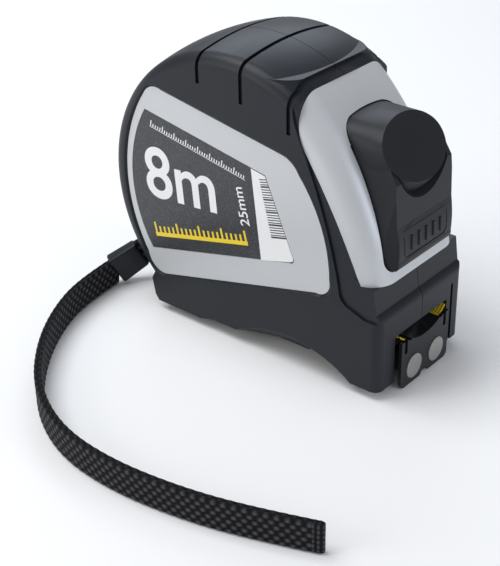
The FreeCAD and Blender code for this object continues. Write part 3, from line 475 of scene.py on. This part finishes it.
# ---------------------------------------------------------------- blade and end hook
# Bowed steel blade in yellow enamel with a black scale, three zinc rivets, and a black coated
# hook plate with two bare round magnets.
paint(["blade"], enamel)
paint(["hook_rivets"], steel)
coated = Finish("black_coating", Specular_IOR_Level=0.3)
coat_cloud = coated.noise(420.0, 4.0)
coated.feed("Base Color", coated.mix(coat_cloud, (0.007, 0.0075, 0.01, 1), (0.016, 0.017, 0.021, 1)))
coated.feed("Roughness", 0.26 + 0.18 * coat_cloud)
paint(["end_hook"], coated)
magnet = Finish("magnet_face", Metallic=0.85)
magnet_cloud = magnet.noise(900.0, 4.0)
magnet.feed("Base Color", magnet.mix(magnet_cloud, (0.36, 0.35, 0.33, 1), (0.5, 0.49, 0.46, 1)))
magnet.feed("Roughness", 0.38 + 0.2 * magnet_cloud)
paint(["hook_magnet_left", "hook_magnet_right"], magnet)

# ---------------------------------------------------------------- labels
# Printed film in the recess of each window: speckled charcoal with the blade's length and width
# in white, a yellow scale, and a white panel of black bars.
LABEL_FACE = 22.3
film = Finish("label_print", Roughness=0.38, Coat_Weight=0.3, Coat_Roughness=0.25)
dots = film.noise(2400.0, 2.0)
film.feed("Base Color", film.mix((dots > 0.56) * 0.5 + 0.3 * dots, (0.008, 0.009, 0.012, 1),
                                 (0.06, 0.064, 0.072, 1)))
paint(["label_left", "label_right"], film)
white_ink = Finish("white_ink", Coat_Weight=0.3)
white_ink.feed("Base Color", white_ink.mix(white_ink.noise(900.0), (0.8, 0.81, 0.82, 1),
                                           (0.88, 0.88, 0.88, 1)))
yellow_ink = Finish("yellow_ink", Coat_Weight=0.3)
yellow_ink.feed("Base Color", yellow_ink.mix(yellow_ink.noise(900.0), (0.83, 0.6, 0.01, 1),
                                             (0.9, 0.68, 0.02, 1)))
black_ink = Finish("black_ink", Coat_Weight=0.3)
black_ink.feed("Base Color", black_ink.mix(black_ink.noise(900.0), (0.01, 0.01, 0.01, 1),
                                           (0.02, 0.02, 0.02, 1)))

lean = math.atan(0.243)
read = Vector((math.cos(lean), 0, math.sin(lean)))
rise = Vector((-math.sin(lean), 0, math.cos(lean)))


def flat_print(name, outlines, level, finish):
    """Thin printed shapes on both labels, each outline a list of (x, z) corners."""
    for label, side in (("left", -1), ("right", 1)):
        out = side * (LABEL_FACE + level) * MM
        mesh = bmesh.new()
        for corners in outlines:
            mesh.faces.new([mesh.verts.new((x * MM, out, z * MM)) for x, z in corners])
        bmesh.ops.recalc_face_normals(mesh, faces=mesh.faces)
        for face in mesh.faces:
            if face.normal.y * side < 0:
                face.normal_flip()
        data = bpy.data.meshes.new(f"{name}_{label}")
        mesh.to_mesh(data)
        mesh.free()
        data.materials.append(finish.material)
        piece = bpy.data.objects.new(f"{name}_{label}", data)
        bpy.context.collection.objects.link(piece)
        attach(piece, "case")


def strip(start, length, tall, direction=read, upright=rise):
    """Corners of a bar that leans with the lettering."""
    low = Vector((start[0], 0, start[1]))
    ends = (low, low + direction * length, low + direction * length + upright * tall, low + upright * tall)
    return [(end.x, end.z) for end in ends]


flat_print("label_panel", [[(4.85, 64.4), (8.3, 33.95), (19.8, 37.15), (21.15, 37.9), (21.0, 39.0),
                            (10.35, 63.4)]], 0.01, white_ink)
bars = []
for number in range(24):
    start = Vector((12.6, 0, 43.2)) + rise * (0.82 * number)
    thick = 0.55 if number % 5 == 0 else 0.34
    length = 7.6 - 0.2 * number
    bars.append(strip((start.x, start.z), length, thick))
flat_print("label_bars", bars, 0.02, black_ink)
scale = [strip((-36.8, 27.6), 41.2, 1.4)]
for number in range(21):
    start = Vector((-36.8, 0, 27.6)) + read * (0.2 + 2.0 * number) + rise * 1.4
    tall = 3.6 if number % 5 == 0 else 2.2
    scale.append(strip((start.x, start.z), 0.8, tall))
flat_print("label_scale", scale, 0.01, yellow_ink)
top_run = Vector((0.983, 0, -0.183))
top_rise = Vector((0.183, 0, 0.983))
top_line = [strip((-37.0, 66.9), 40.0, 0.3, top_run, top_rise)]
for number in range(40):
    start = Vector((-37.0, 0, 66.9)) + top_run * (0.2 + number)
    tall = 2.4 if number % 5 == 0 else 1.5
    top_line.append(strip((start.x, start.z), 0.4, tall, top_run, top_rise))
flat_print("label_fine_scale", top_line, 0.01, white_ink)


def lettering(name, words, tall, start, direction, upright, side, weight):
    """White lettering on one label, from the left end of its baseline."""
    data = bpy.data.curves.new(name, "FONT")
    data.body = words
    data.size = tall * MM
    data.offset = weight * MM
    data.extrude = 0.008 * MM
    text = as_mesh(name, data, white_ink, "case")
    outward = Vector((0, side, 0))
    turn = Matrix((direction, upright, outward)).transposed().to_4x4()
    spot = Vector((start[0], side * (LABEL_FACE + 0.012), start[1])) * MM
    text.data.transform(Matrix.Translation(spot) @ turn)


level_read = Vector((0.996, 0, 0.085))
level_rise = Vector((-0.085, 0, 0.996))
lettering("length_mark_left", "8m", 25.0, (-39.9, 42.2), level_read, level_rise, -1, 0.3)
lettering("width_mark_left", "25mm", 5.2, (4.0, 44.3), rise, -read, -1, 0.05)
lettering("length_mark_right", "8m", 25.0, (-4.4, 45.2), -level_read, level_rise, 1, 0.3)
lettering("width_mark_right", "25mm", 5.2, (0.2, 57.6), -rise, -read, 1, 0.05)
